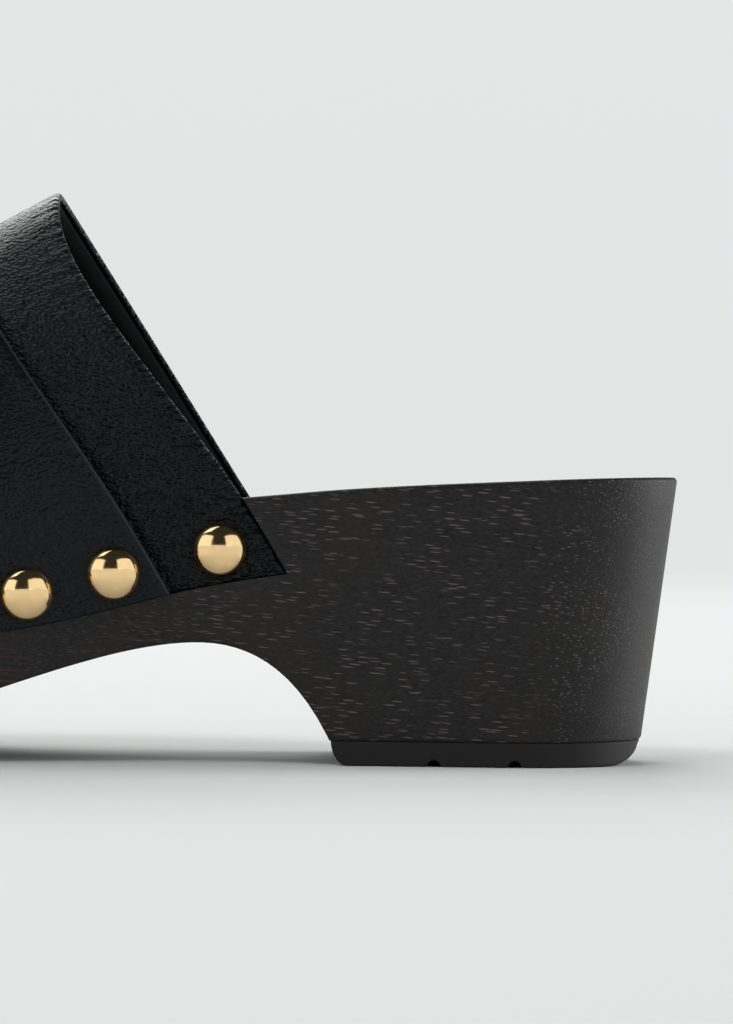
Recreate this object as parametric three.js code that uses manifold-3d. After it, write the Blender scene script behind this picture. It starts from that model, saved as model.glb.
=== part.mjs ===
// Studded clog, left shoe: a one-piece wooden sole with a block heel, a leather upper let into a rabbet
// round the wood, a vamp laid over its front, dome nails along the edge, and rubber under heel and ball.
// Millimetres, +Z up. The toe points along -X and the outer side of the foot faces -Y. The origin is on
// the floor, below the middle of the shoe's box. In the functions "run" is the distance forward from
// the back of the heel seat, and a side is -1 for the outer side of the foot and 1 for the inner side.
import * as THREE from "three";
import { mergeVertices } from "three/addons/utils/BufferGeometryUtils.js";
import Module from "manifold-3d";

const wasm = await Module();
wasm.setup();

// Driving dimensions: the last
const soleLength = 252;
const ballWidth = 88;
const waistWidth = 60.5;
const seatWidth = 62;
const toeRound = 62;
const seatHeight = 59;
const ballHeight = 36;
const toeSpring = 13;

// Driving dimensions: the wooden sole
const heelRun = 71;
const heelLean = 7.5;
const heelTaper = 3.6;
const ballTaper = 2.4;
const toeTuck = 6;
const archRun = 97.3;
const archHeight = 24.4;
const toeSpringRun = 54;
const ballFlatLength = 18;
const cupDepth = 5;
const rimRound = 1;

// Driving dimensions: the rubber
const topliftThickness = 5;
const treadThickness = 4.5;
const treadLength = 100;
const treadInset = 0.5;
const grooveWidth = 2.7;
const groovePitch = 16.3;
const firstGroove = 33.7;
const heelGrooves = 2;

// Driving dimensions: the leather
const collarHeight = 117;
const collarBack = 79.4;
const collarBow = 5;
const collarPitch = THREE.MathUtils.degToRad(57.8);
const vampSetback = 23.5;
const toeBoxHeight = 65;
const vampDip = 0.35;
const ridgeSetback = 25;
const skirtDepth = 18;
const upperWall = 1.8;
const vampWall = 1.2;
const skinInset = 0.6;
const featherRise = 2;

// Driving dimensions: the dome nails
const studDiameter = 10.8;
const studHeight = 3.9;
const studRise = 6.1;
const studPitch = 16.4;
const bandStudInset = 10;
const vampStudInset = 8;

// Clearance between curved pieces
const fit = 0.3;

// Fineness of the meshes
const soleStations = 44;
const upperStations = 22;
const skirtRows = 2;
const domeRows = 9;
const studSides = 14;
const studRings = 4;

// Plan of the last: places are shares of the sole's length.
const OUTLINE = [
  { at: 0, centre: 0, half: 0.5 * seatWidth },
  { at: 0.12, centre: 0, half: 0.5 * seatWidth },
  { at: 0.24, centre: -0.004 * ballWidth, half: 0.503 * seatWidth },
  { at: 0.38, centre: -0.008 * ballWidth, half: 0.5 * waistWidth },
  { at: 0.48, centre: -0.017 * ballWidth, half: 0.369 * ballWidth },
  { at: 0.56, centre: -0.014 * ballWidth, half: 0.423 * ballWidth },
  { at: 0.64, centre: 0, half: 0.477 * ballWidth },
  { at: 0.72, centre: 0.025 * ballWidth, half: 0.5 * ballWidth },
  { at: 0.8, centre: 0.048 * ballWidth, half: 0.488 * ballWidth },
  { at: 0.88, centre: 0.071 * ballWidth, half: 0.45 * ballWidth },
  { at: 0.94, centre: 0.077 * ballWidth, half: 0.415 * ballWidth },
  { at: 1, centre: 0.08 * ballWidth, half: 0.37 * ballWidth },
];

// Side view of the wood's rim: "drop" is a share of the fall from heel seat to ball, "spring" one of
// the toe spring, "skirt" the leather's overlap below the rim and "cup" the hollow of the footbed.
const RIM = [
  { at: 0, drop: 1, spring: 0, skirt: 0.88, cup: 0 },
  { at: 0.05, drop: 0.982, spring: 0, skirt: 0.88, cup: 0.55 },
  { at: 0.12, drop: 0.947, spring: 0, skirt: 0.88, cup: 1 },
  { at: 0.27, drop: 0.849, spring: 0, skirt: 0.88, cup: 0.85 },
  { at: 0.34, drop: 0.776, spring: 0, skirt: 0.91, cup: 0.5 },
  { at: 0.4, drop: 0.711, spring: 0, skirt: 0.99, cup: 0.36 },
  { at: 0.46, drop: 0.613, spring: 0, skirt: 1.085, cup: 0.36 },
  { at: 0.52, drop: 0.444, spring: 0, skirt: 1.06, cup: 0.45 },
  { at: 0.58, drop: 0.258, spring: 0, skirt: 0.94, cup: 0.6 },
  { at: 0.64, drop: 0.102, spring: 0, skirt: 0.81, cup: 0.75 },
  { at: 0.72, drop: 0, spring: 0, skirt: 0.755, cup: 0.85 },
  { at: 0.8, drop: 0, spring: 0.01, skirt: 0.755, cup: 0.7 },
  { at: 0.88, drop: 0, spring: 0.12, skirt: 0.77, cup: 0.45 },
  { at: 0.95, drop: 0, spring: 0.29, skirt: 0.79, cup: 0.25 },
  { at: 1, drop: 0, spring: 0.42, skirt: 0.805, cup: 0 },
];

// A smooth line through one column of a table, read at a run along the sole.
function column(table, name) {
  const places = table.map((row) => row.at);
  const values = table.map((row) => row[name]);
  const line = new THREE.CubicInterpolant(places, values, 1);
  return (run) => line.evaluate(THREE.MathUtils.clamp(run / soleLength, 0, 1))[0];
}

const centreLine = column(OUTLINE, "centre");
const fullHalf = column(OUTLINE, "half");
const dropShare = column(RIM, "drop");
const springShare = column(RIM, "spring");
const skirtShare = column(RIM, "skirt");
const cupShare = column(RIM, "cup");

// Share of the full half width that is left near a round end.
function roundEnd(distance, length, power) {
  if (distance >= length) return 1;
  const short = 1 - Math.max(distance, 0) / length;
  return (1 - short ** power) ** (1 / power);
}

function halfWidth(run) {
  const heel = roundEnd(run, seatWidth / 2, 2);
  const toe = roundEnd(soleLength - run, toeRound, 2.35);
  return fullHalf(run) * heel * toe;
}

function rimHeight(run) {
  return ballHeight + (seatHeight - ballHeight) * dropShare(run) + toeSpring * springShare(run);
}

function leatherEdge(run) {
  return rimHeight(run) - skirtDepth * skirtShare(run);
}

const spot = (run, y, z) => new THREE.Vector3(-run, y, z);

// A point on the wood's side: it tapers towards the floor, leans in at the heel and tucks in at the toe.
function sidePoint(run, height, side) {
  const depth = 1 - height / rimHeight(run);
  const share = run / soleLength;
  const fore = THREE.MathUtils.smoothstep(share, 0.3, 0.6);
  const taper = THREE.MathUtils.lerp(heelTaper, ballTaper, fore) / (ballWidth / 2);
  const lean = heelLean * depth * (1 - share) ** 4 - toeTuck * depth * share ** 6;
  const y = centreLine(run) + side * halfWidth(run) * (1 - taper * depth);
  return spot(run + lean, y, height);
}

// Joins loops of points, one for each station, into a closed surface. Where the first loop is open, as
// at the cut edge of a wall, a strip folds it shut; a loop that has shrunk to a line needs none.
function loft(loops, firstOpen) {
  const size = loops[0].length;
  const positions = loops.flat().flatMap((point) => point.toArray());
  const geometry = new THREE.BufferGeometry();
  geometry.setAttribute("position", new THREE.Float32BufferAttribute(positions, 3));
  const faces = [];
  for (let i = 0; i < loops.length - 1; i++) {
    for (let j = 0; j < size; j++) {
      const here = i * size;
      const next = (j + 1) % size;
      faces.push(here + j, here + next, here + size + next);
      faces.push(here + j, here + size + next, here + size + j);
    }
  }
  if (firstOpen) {
    for (let j = 0; j < size / 2 - 1; j++) {
      faces.push(j + 1, j, size - 1 - j);
      faces.push(j + 1, size - 1 - j, size - 2 - j);
    }
  }
  geometry.setIndex(faces);
  return solid(geometry);
}

// A closed three.js geometry as a solid that can be cut and joined.
function solid(geometry) {
  const bare = geometry.clone();
  bare.deleteAttribute("normal");
  bare.deleteAttribute("uv");
  const merged = mergeVertices(bare, 1e-3);
  const corners = merged.index.array;
  const triVerts = [];
  for (let i = 0; i < corners.length; i += 3) {
    const [a, b, c] = corners.slice(i, i + 3);
    if (a !== b && b !== c && c !== a) triVerts.push(a, b, c);
  }
  return new wasm.Manifold(
    new wasm.Mesh({
      numProp: 3,
      vertProperties: merged.attributes.position.array,
      triVerts: new Uint32Array(triVerts),
    }),
  );
}

// A profile in side view, drawn with x = -run and y = height, carried across the whole sole.
function across(shape) {
  const width = 2 * ballWidth;
  const geometry = new THREE.ExtrudeGeometry(shape, { depth: width, bevelEnabled: false, curveSegments: 16 });
  return solid(geometry.translate(0, 0, -width / 2).rotateX(Math.PI / 2));
}

// The outline of the last as a block from the floor up to the cupped footbed.
function lastBlock(inset) {
  const loops = [];
  for (let i = 0; i <= soleStations; i++) {
    const angle = Math.PI * (i / soleStations);
    loops.push(blockLoop(angle, inset));
  }
  return loft(loops, false);
}

function blockLoop(angle, inset) {
  const run = runAt(angle);
  const rim = rimHeight(run);
  const wall = (side) => [
    insetPoint(angle, 0, inset, side),
    insetPoint(angle, rim - rimRound, inset, side),
    insetPoint(angle, rim - 0.3 * rimRound, inset + 0.3 * rimRound, side),
    insetPoint(angle, rim, inset + rimRound, side),
  ];
  const outer = wall(-1);
  const inner = wall(1).reverse();
  const from = outer.at(-1);
  const to = inner[0];
  const bed = [0.1, 0.22, 0.36, 0.5, 0.64, 0.78, 0.9].map((share) => {
    const point = from.clone().lerp(to, share);
    point.z -= cupDepth * cupShare(run) * (1 - Math.abs(2 * share - 1) ** 2.4);
    return point;
  });
  return [...outer, ...bed, ...inner];
}

const runAt = (angle) => (soleLength * (1 - Math.cos(angle))) / 2;

// A point of the block's side at a height, moved inwards in plan.
function insetPoint(angle, height, inset, side) {
  const point = sidePoint(runAt(angle), height, side);
  const step = 1e-3;
  const before = sidePoint(runAt(Math.max(angle - step, 0)), height, side);
  const after = sidePoint(runAt(Math.min(angle + step, Math.PI)), height, side);
  const along = after.sub(before);
  const inward = new THREE.Vector3(-along.y, along.x, 0).normalize().multiplyScalar(side * inset);
  if (angle === 0) inward.set(-inset, 0, 0);
  if (angle === Math.PI) inward.set(inset, 0, 0);
  return point.add(inward);
}

const ballFlatEnd = soleLength - toeSpringRun;
const ballFlatStart = ballFlatEnd - ballFlatLength;

// The wood's underside in side view: heel breast, arch, the flat under the ball, and the toe spring.
function underside(drop) {
  const at = (run, height) => new THREE.Vector2(-run, height - drop);
  const breast = (share) => THREE.MathUtils.lerp(heelRun, archRun, share);
  const arch = (share) => THREE.MathUtils.lerp(archRun, ballFlatStart, share);
  const toe = (share) => THREE.MathUtils.lerp(ballFlatEnd, soleLength, share);
  const path = new THREE.CurvePath();
  path.add(
    new THREE.CubicBezierCurve(
      at(heelRun, topliftThickness),
      at(breast(0.237), THREE.MathUtils.lerp(topliftThickness, archHeight, 0.644)),
      at(breast(0.553), archHeight),
      at(archRun, archHeight),
    ),
  );
  path.add(
    new THREE.CubicBezierCurve(
      at(archRun, archHeight),
      at(arch(0.287), archHeight),
      at(arch(0.686), treadThickness),
      at(ballFlatStart, treadThickness),
    ),
  );
  path.add(new THREE.LineCurve(at(ballFlatStart, treadThickness), at(ballFlatEnd, treadThickness)));
  path.add(
    new THREE.CubicBezierCurve(
      at(ballFlatEnd, treadThickness),
      at(toe(0.35), treadThickness),
      at(toe(0.72), treadThickness + 0.4 * toeSpring),
      at(toe(1.03), treadThickness + toeSpring),
    ),
  );
  return path.getPoints(18);
}

// The height of a profile at a run along it.
function heightOn(points, run) {
  const next = points.findIndex((point) => -point.x >= run);
  const after = points[next];
  const before = points[next - 1];
  const share = (run + before.x) / (before.x - after.x);
  return THREE.MathUtils.lerp(before.y, after.y, share);
}

// The upper's outer face. "turn" runs from the collar (0) to the tip of the toe (1) and "climb" from
// the lower edge (0) to the crest (1). Past either end the face carries on down the other side.
const skirtClimb = 0.22;
const collarTop = collarBack + (collarHeight - leatherEdge(collarBack)) / Math.tan(collarPitch);
const ridgeFront = soleLength - ridgeSetback;

function crestHeight(run) {
  const share = (run - collarTop) / (ridgeFront - collarTop);
  const fall = share + vampDip * share ** 2 * (1 - share);
  return collarHeight - (collarHeight - toeBoxHeight) * fall;
}

function ray(turn) {
  const share = Math.sin((turn * Math.PI) / 2);
  const foot = collarBack + (soleLength - collarBack) * share;
  const fan = ridgeSetback * share ** 3;
  const ridge = collarTop + (ridgeFront - collarTop) * (share + 0.4 * share * (1 - share));
  const shear = ridge - (foot - fan);
  const low = leatherEdge(foot);
  const feather = rimHeight(foot + 0.25 * shear) + featherRise;
  return { share, foot, fan, ridge, shear, low, feather, crest: crestHeight(ridge) };
}

// How far the collar's edge bows forward of a straight line, on the outer side only and most at three
// quarters of its height.
function bow(part, side) {
  const most = side < 0 ? collarBow : 0;
  const peak = 0.75 ** 3 * 0.25;
  return (most * part ** 3 * (1 - part)) / peak;
}

function skin(turn, climb, side) {
  if (turn > 1) return skin(2 - turn, climb, -side);
  if (climb > 1) return skin(turn, 2 - climb, -side);
  const { share, foot, fan, ridge, shear, low, feather, crest } = ray(turn);
  const angle = (Math.max(climb - skirtClimb, 0) / (1 - skirtClimb)) * (Math.PI / 2);
  const spread = Math.cos(angle) ** THREE.MathUtils.lerp(1, 0.88, share);
  const rise = Math.sin(angle);
  let height = feather + (crest - feather) * rise;
  if (climb < skirtClimb) height = THREE.MathUtils.lerp(low, feather, climb / skirtClimb);
  const slope = crestHeight(ridge) - crestHeight(ridge + 1);
  height -= slope * fan * spread * rise ** 2;
  const part = (height - low) / (crest - low);
  const reach = foot + shear * part + bow(part, side) * (1 - share) ** 2;
  const edge = sidePoint(reach, Math.min(height, feather), side);
  const spine = centreLine(ridge) + 0.035 * ballWidth;
  edge.x += fan * (1 - spread);
  edge.y = THREE.MathUtils.lerp(spine, edge.y, spread);
  edge.z = height;
  return edge;
}

// A point off the outer face, outwards along its normal.
function offSkin(turn, climb, side, offset) {
  const step = 1e-3;
  const along = skin(turn + step, climb, side).sub(skin(turn - step, climb, side));
  const up = skin(turn, climb + step, side).sub(skin(turn, climb - step, side));
  const normal = along.cross(up).normalize().multiplyScalar(side);
  return { normal, point: skin(turn, climb, side).addScaledVector(normal, offset) };
}

// A leather wall between two offsets from the outer face, from its back edge forward round the toe.
// "grow" moves its back and lower edges outwards by a clearance.
function leatherWall(backTurn, inner, outer, grow) {
  const perTurn = ((soleLength - collarBack) * Math.PI) / 2;
  const firstTurn = backTurn - grow / (perTurn * Math.sin(collarPitch));
  const loops = [];
  for (let i = 0; i <= upperStations; i++) {
    const turn = THREE.MathUtils.lerp(firstTurn, 1, i / upperStations);
    const { low, feather } = ray(turn);
    const lowest = (-grow * skirtClimb) / (feather - low);
    const climbs = [];
    for (let j = 0; j < skirtRows; j++) climbs.push(THREE.MathUtils.lerp(lowest, skirtClimb, j / skirtRows));
    for (let j = 0; j < domeRows; j++) climbs.push(THREE.MathUtils.lerp(skirtClimb, 1, j / domeRows));
    const face = (offset) => [
      ...climbs.map((climb) => offSkin(turn, climb, -1, offset).point),
      offSkin(turn, 1, -1, offset).point,
      ...climbs.toReversed().map((climb) => offSkin(turn, climb, 1, offset).point),
    ];
    loops.push([...face(outer), ...face(inner).reverse()]);
  }
  return loft(loops, true);
}

const turnAt = (run) => Math.asin((run - collarBack) / (soleLength - collarBack)) / (Math.PI / 2);
const upperFace = -skinInset;
const vampFace = upperFace + fit + vampWall;
const vampTurn = turnAt(collarBack + vampSetback);

function makeUpper() {
  return leatherWall(0, upperFace - upperWall, upperFace, 0);
}

function makeVamp() {
  return leatherWall(vampTurn, upperFace + fit, vampFace, 0);
}

// The space that the leather takes in the side of the wood, with its clearance.
function leatherPocket() {
  return leatherWall(0, upperFace - upperWall - fit, 2 * upperWall, fit);
}

function makeSole() {
  const profile = underside(0);
  const below = [
    new THREE.Vector2(-soleLength - toeTuck, -treadThickness),
    new THREE.Vector2(heelLean, -treadThickness),
    new THREE.Vector2(heelLean, topliftThickness),
  ];
  const under = across(new THREE.Shape([...profile, ...below]));
  return lastBlock(0).subtract(under).subtract(leatherPocket());
}

// A half-round groove across the rubber.
function groove(run, height) {
  const geometry = new THREE.CylinderGeometry(grooveWidth / 2, grooveWidth / 2, 2 * ballWidth, 16);
  return solid(geometry.translate(-run, 0, height));
}

function makeToplift() {
  const front = heelRun - fit;
  const back = heelLean;
  const shape = new THREE.Shape();
  shape.moveTo(0, topliftThickness);
  shape.lineTo(-front, topliftThickness);
  shape.lineTo(-front + 0.1 * topliftThickness, 0.5 * topliftThickness);
  shape.quadraticCurveTo(-front + 0.2 * topliftThickness, 0, -front + 0.7 * topliftThickness, 0);
  shape.lineTo(-back - 1.4 * topliftThickness, 0);
  shape.quadraticCurveTo(-back - 0.3 * topliftThickness, 0, -back, 0.85 * topliftThickness);
  shape.lineTo(0, 0.85 * topliftThickness);
  let rubber = lastBlock(fit).intersect(across(shape));
  for (let i = 0; i < heelGrooves; i++) rubber = rubber.subtract(groove(firstGroove + i * groovePitch, 0));
  return rubber;
}

function makeTread() {
  const treadStart = soleLength - treadLength;
  const bevel = 0.8 * treadThickness;
  const top = underside(fit).filter((point) => -point.x >= treadStart);
  const bottom = underside(treadThickness).filter((point) => -point.x >= treadStart + bevel);
  let rubber = lastBlock(treadInset).intersect(across(new THREE.Shape([...top, ...bottom.toReversed()])));
  const foremost = ballFlatEnd + 2 * groovePitch;
  for (let run = foremost; run > treadStart + groovePitch / 2; run -= groovePitch) {
    rubber = rubber.subtract(groove(run, heightOn(bottom, run)));
  }
  return rubber;
}

// A dome nail's head, standing on z = 0 with a short foot below it for its seat to cut.
function domeHead() {
  const radius = studDiameter / 2;
  const sphere = (radius ** 2 + studHeight ** 2) / (2 * studHeight);
  const start = Math.asin(Math.min(radius / sphere, 1));
  const profile = [new THREE.Vector2(0, -vampWall), new THREE.Vector2(radius, -vampWall)];
  for (let i = 0; i < studRings; i++) {
    const angle = start * (1 - i / studRings);
    profile.push(new THREE.Vector2(sphere * Math.sin(angle), studHeight - sphere * (1 - Math.cos(angle))));
  }
  profile.push(new THREE.Vector2(0, studHeight));
  return new THREE.LatheGeometry(profile, studSides).rotateX(Math.PI / 2);
}

// Turns of the nails: one on each side of the band, and an even row round the vamp. A turn over 1 is on
// the inner side.
function studTurns() {
  const band = turnAt(collarBack + bandStudInset);
  const first = turnAt(collarBack + vampSetback + vampStudInset);
  const steps = 400;
  const marks = [{ turn: first, length: 0 }];
  for (let i = 1; i <= steps; i++) {
    const turn = first + ((2 - 2 * first) * i) / steps;
    const length = marks.at(-1).length + studSeat(turn).distanceTo(studSeat(marks.at(-1).turn));
    marks.push({ turn, length });
  }
  const gaps = Math.round(marks.at(-1).length / studPitch);
  const turns = [band];
  for (let i = 0; i <= gaps; i++) {
    const length = (marks.at(-1).length * i) / gaps;
    turns.push(marks.find((mark) => mark.length >= length - 1e-6).turn);
  }
  return [...turns, 2 - band];
}

function studClimb(turn) {
  const { low, feather } = ray(turn > 1 ? 2 - turn : turn);
  return (skirtClimb * studRise) / (feather - low);
}

const studSeat = (turn) => skin(turn, studClimb(turn), -1);

function makeStuds() {
  const vampSeat = leatherWall(vampTurn, upperFace - 2 * upperWall, vampFace + fit, 0);
  const bandSeat = leatherWall(0, upperFace - 2 * upperWall, upperFace + fit, 0);
  return studTurns().map((turn, i, all) => {
    const onBand = i === 0 || i === all.length - 1;
    const face = onBand ? upperFace : vampFace;
    const side = turn > 1 ? 1 : -1;
    const { normal, point } = offSkin(turn > 1 ? 2 - turn : turn, studClimb(turn), side, face + fit);
    const upright = new THREE.Vector3(0, 0, 1);
    const place = new THREE.Matrix4().makeRotationFromQuaternion(
      new THREE.Quaternion().setFromUnitVectors(upright, normal),
    );
    place.setPosition(point);
    return solid(domeHead().applyMatrix4(place)).subtract(onBand ? bandSeat : vampSeat);
  });
}

// Finishes
const blackWood = new THREE.MeshStandardMaterial({ color: 0x2b2928, roughness: 0.5 });
const blackLeather = new THREE.MeshStandardMaterial({ color: 0x141615, roughness: 0.42 });
const blackRubber = new THREE.MeshStandardMaterial({ color: 0x2a2827, roughness: 0.7 });
const paleGold = new THREE.MeshStandardMaterial({ color: 0xe3bf77, roughness: 0.12, metalness: 1 });

function mesh(name, body, material) {
  const { vertProperties, triVerts } = body.getMesh();
  const geometry = new THREE.BufferGeometry();
  geometry.setAttribute("position", new THREE.BufferAttribute(vertProperties, 3));
  geometry.setIndex(new THREE.BufferAttribute(triVerts, 1));
  const made = new THREE.Mesh(geometry, material);
  made.name = name;
  return made;
}

const group = new THREE.Group();
group.add(mesh("sole_wood", makeSole(), blackWood));
group.add(mesh("heel_toplift", makeToplift(), blackRubber));
group.add(mesh("forefoot_tread", makeTread(), blackRubber));
group.add(mesh("upper", makeUpper(), blackLeather));
group.add(mesh("vamp", makeVamp(), blackLeather));
makeStuds().forEach((body, i) => {
  const number = String(i + 1).padStart(2, "0");
  group.add(mesh(`stud_${number}`, body, paleGold));
});

// The origin goes to the middle of the shoe's box, on the floor.
const box = new THREE.Box3().setFromObject(group, true);
group.position.set(-(box.min.x + box.max.x) / 2, -(box.min.y + box.max.y) / 2, -box.min.z);

export default group;
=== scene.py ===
# Studded clog, left shoe: stained wood, black leather, rubber and dome nails round the packed model.
# Metres, +Z up. The toe points along -X and the outer side of the foot faces -Y. In the functions "run"
# is the distance forward from the back of the heel seat, and a side is -1 for the outer side of the foot
# and 1 for the inner side.
import bisect
import functools
import math
import random
from types import SimpleNamespace

import bmesh
import bpy
from bpy.props import FloatProperty, FloatVectorProperty, PointerProperty
from mathutils import Matrix, Vector


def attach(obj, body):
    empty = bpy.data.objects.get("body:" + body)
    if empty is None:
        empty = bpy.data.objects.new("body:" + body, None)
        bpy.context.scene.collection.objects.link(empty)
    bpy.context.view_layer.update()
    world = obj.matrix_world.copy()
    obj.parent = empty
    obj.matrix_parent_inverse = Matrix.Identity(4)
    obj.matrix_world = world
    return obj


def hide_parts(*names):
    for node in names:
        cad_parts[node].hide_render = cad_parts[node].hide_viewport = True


bl_info = {
    "name": "Studded clog",
    "version": (1, 0, 0),
    "blender": (4, 5, 0),
    "location": "3D View > Sidebar > Clog",
    "description": "Makes the clog's wood, leather, rubber and nails round the packed model",
    "category": "Mesh",
}

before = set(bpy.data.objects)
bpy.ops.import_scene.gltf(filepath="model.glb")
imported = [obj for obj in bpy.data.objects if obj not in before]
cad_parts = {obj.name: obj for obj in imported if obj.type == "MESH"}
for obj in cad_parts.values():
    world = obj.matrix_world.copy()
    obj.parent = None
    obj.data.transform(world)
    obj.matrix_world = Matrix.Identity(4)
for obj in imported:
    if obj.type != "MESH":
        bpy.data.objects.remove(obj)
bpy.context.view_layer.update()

MM = 0.001
LOAD_PLACE = Vector((127.5745, -2.4579, 0)) * MM

# Plan of the last: place as a share of the sole's length, centre as a share of the ball width, half
# width as a share of the width that is named.
OUTLINE = (
    (0.00, 0.000, 0.500, "seat_width"),
    (0.12, 0.000, 0.500, "seat_width"),
    (0.24, -0.004, 0.503, "seat_width"),
    (0.38, -0.008, 0.500, "waist_width"),
    (0.48, -0.017, 0.369, "ball_width"),
    (0.56, -0.014, 0.423, "ball_width"),
    (0.64, 0.000, 0.477, "ball_width"),
    (0.72, 0.025, 0.500, "ball_width"),
    (0.80, 0.048, 0.488, "ball_width"),
    (0.88, 0.071, 0.450, "ball_width"),
    (0.94, 0.077, 0.415, "ball_width"),
    (1.00, 0.080, 0.370, "ball_width"),
)

# Side view of the wood's rim: place, share of the fall from seat to ball, share of the toe spring,
# share of the leather's overlap, share of the footbed's hollow.
RIM = (
    (0.00, 1.000, 0.00, 0.880, 0.00),
    (0.05, 0.982, 0.00, 0.880, 0.55),
    (0.12, 0.947, 0.00, 0.880, 1.00),
    (0.27, 0.849, 0.00, 0.880, 0.85),
    (0.34, 0.776, 0.00, 0.910, 0.50),
    (0.40, 0.711, 0.00, 0.990, 0.36),
    (0.46, 0.613, 0.00, 1.085, 0.36),
    (0.52, 0.444, 0.00, 1.060, 0.45),
    (0.58, 0.258, 0.00, 0.940, 0.60),
    (0.64, 0.102, 0.00, 0.810, 0.75),
    (0.72, 0.000, 0.00, 0.755, 0.85),
    (0.80, 0.000, 0.01, 0.755, 0.70),
    (0.88, 0.000, 0.12, 0.770, 0.45),
    (0.95, 0.000, 0.29, 0.790, 0.25),
    (1.00, 0.000, 0.42, 0.805, 0.00),
)

# Share of the climb up the leather that is the upright skirt along the wood.
SKIRT_CLIMB = 0.22

# How square the toe is in plan (2 is a plain ellipse), and the toe box across its section (1 is one).
TOE_SQUARENESS = 2.35
TOE_BOX_SPREAD = 0.88

# How much the ridge of the leather runs ahead of an even spacing, and how far it lies on the inner side
# of the middle, as a share of the ball width.
RIDGE_LEAD = 0.4
RIDGE_SHIFT = 0.035

LEATHER_MAP = "from_edge"

# Gap round the leather's edges where it is let into the wood.
POCKET_GAP = 0.08 * MM

# Width in millimetres of the leather folded in along the collar, and the groove where it meets the
# lining.
FOLD_WIDTH = 1.2
SEAM_DEPTH, SEAM_WIDTH = 0.6 * MM, 0.25 * MM

# Short gathers across the band's collar edge: climb, length and depth in millimetres.
BAND_GATHERS = (
    (0.08, 8, 0.17), (0.12, 11, 0.22), (0.155, 7, 0.18), (0.19, 12, 0.24), (0.225, 8, 0.2),
    (0.26, 11, 0.22), (0.30, 7, 0.18), (0.34, 10, 0.2), (0.40, 7, 0.14), (0.46, 9, 0.16),
    (0.55, 6, 0.12), (0.64, 8, 0.12),
)
GATHER_WIDTH = 1.0

# Width of the hollow that a nail presses round itself. Width and depth in millimetres of the soft
# troughs at the toe, and how far they climb.
PRESS_WIDTH = 6.2 * MM
TOE_TROUGH_WIDTH, TOE_TROUGH_DEPTH, TOE_TROUGH_CLIMB = 2.2, 0.3, 0.09

# The band's trough beside the vamp's cut edge, how far it lies from the edge on the collar's side, and
# how far and how wide that edge stands off the band.
TROUGH_DEPTH, TROUGH_WIDTH, TROUGH_SHIFT = 0.6 * MM, 1.0 * MM, 0.3 * MM
EDGE_LIFT, EDGE_FLARE = 0.5 * MM, 5 * MM

# Rounding of the vamp's cut edge, of the wood's lower rim, and of the rubber's lower and upper rims.
CUT_ROUND = 0.7 * MM
LOW_ROUND = 0.7 * MM
RUBBER_LOW_ROUND, RUBBER_HIGH_ROUND = 0.5 * MM, 0.15 * MM

# The most of a slab's thickness that one rim's rounding takes, and how flat the footbed's bottom is.
MOST_ROUND = 0.45
FOOTBED_FLATNESS = 2.4

# Grooves under the heel and under the ball, the loops beside each as shares of its half width, and the
# room that is cleared for them.
HEEL_GROOVES, TREAD_GROOVES = 2, 5
GROOVE_SIDES = (-1.35, -1.02, 1.02, 1.35)
GROOVE_ROOM = 1.5

# Seed of the nails' small tips, and the most that a nail is tipped, in degrees.
TIP_SEED, MOST_TIP = 7, 1.5

# Radius in metres up to which the lamps alone light the floor, and from which it glows by itself.
LIT_FLOOR, GLOWING_FLOOR = 0.14, 1.5

# Steps of the meshes: along a piece, round its section, and round its edges.
SOLE_STEPS = 170
POCKET_STEPS = 90
RUBBER_STEPS = 90
GROOVE_STEPS = 12
UPPER_STEPS = 34
VAMP_STEPS = 130
NAIL_STEPS = 44
DOME_STEPS = 18
NAIL_ROW_STEPS = 400
FLOOR_STEPS = 96
FLOOR_BEND_STEPS = 12
FOLD_STEPS = 5
CUT_STEPS = 4
CORNER_STEPS = 4
SIDE_STEPS = 9
UNDER_STEPS = 14
OVER_STEPS = 26
CURVE_STEPS = 40

# Rows of a leather wall: up the skirt, and over the dome as far as the crest.
POCKET_CLIMBS = (8, 30)
UPPER_CLIMBS = (16, 52)
VAMP_CLIMBS = (18, 54)

# Rounds in which a point on the leaning side is brought to the place that is asked for.
ROUNDS = 8

# Angle in degrees above which an edge stays sharp.
SHARP_ANGLE = 35
SHARP_LEATHER_ANGLE = 60

# The floor in metres: rings of its flat, radius of the flat, radius of the bend at its rim, height of
# the wall. The bend's angle is in radians.
FLOOR_RINGS = (0, 0.6, 1.6)
FLOOR_FLAT, FLOOR_BEND, WALL_TOP = 2.8, 0.7, 0.66
FLOOR_BEND_ANGLE = 1.5

# Lamps: name, the setting of its power and the share taken, place, width and height, the spot it
# faces, and whether it shows in reflections.
CLOG_MIDDLE = (0, 0, 0.05)
LAMPS = (
    ("front_left", "front_power", 1, (-1.04, -0.78, 0.76), (1.62, 0.98), (0, 0, 0.76), True),
    ("front_right", "front_power", 0.88, (1.04, -0.78, 0.76), (1.62, 0.98), (0, 0, 0.76), True),
    ("high_front", "high_power", 1, (-0.4, -0.75, 1.35), (0.8, 0.4), CLOG_MIDDLE, False),
    ("overhead", "top_power", 1, (-0.45, 0.4, 1.5), (2.0, 1.1), CLOG_MIDDLE, True),
    ("high_behind", "back_power", 1, (-0.5, 1.9, 1.15), (1.9, 1.1), CLOG_MIDDLE, True),
    ("behind_heel", "side_power", 1, (1.3, 0.5, 0.35), (0.7, 0.7), CLOG_MIDDLE, True),
)


def size(name, description, default):
    """A length in the sidebar, given here in millimetres."""
    return FloatProperty(
        name=name, description=description, default=default * MM, unit="LENGTH", precision=4
    )


def colour(name, description, default):
    return FloatVectorProperty(
        name=name, description=description, default=default, subtype="COLOR", size=3, min=0, max=1
    )


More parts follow.
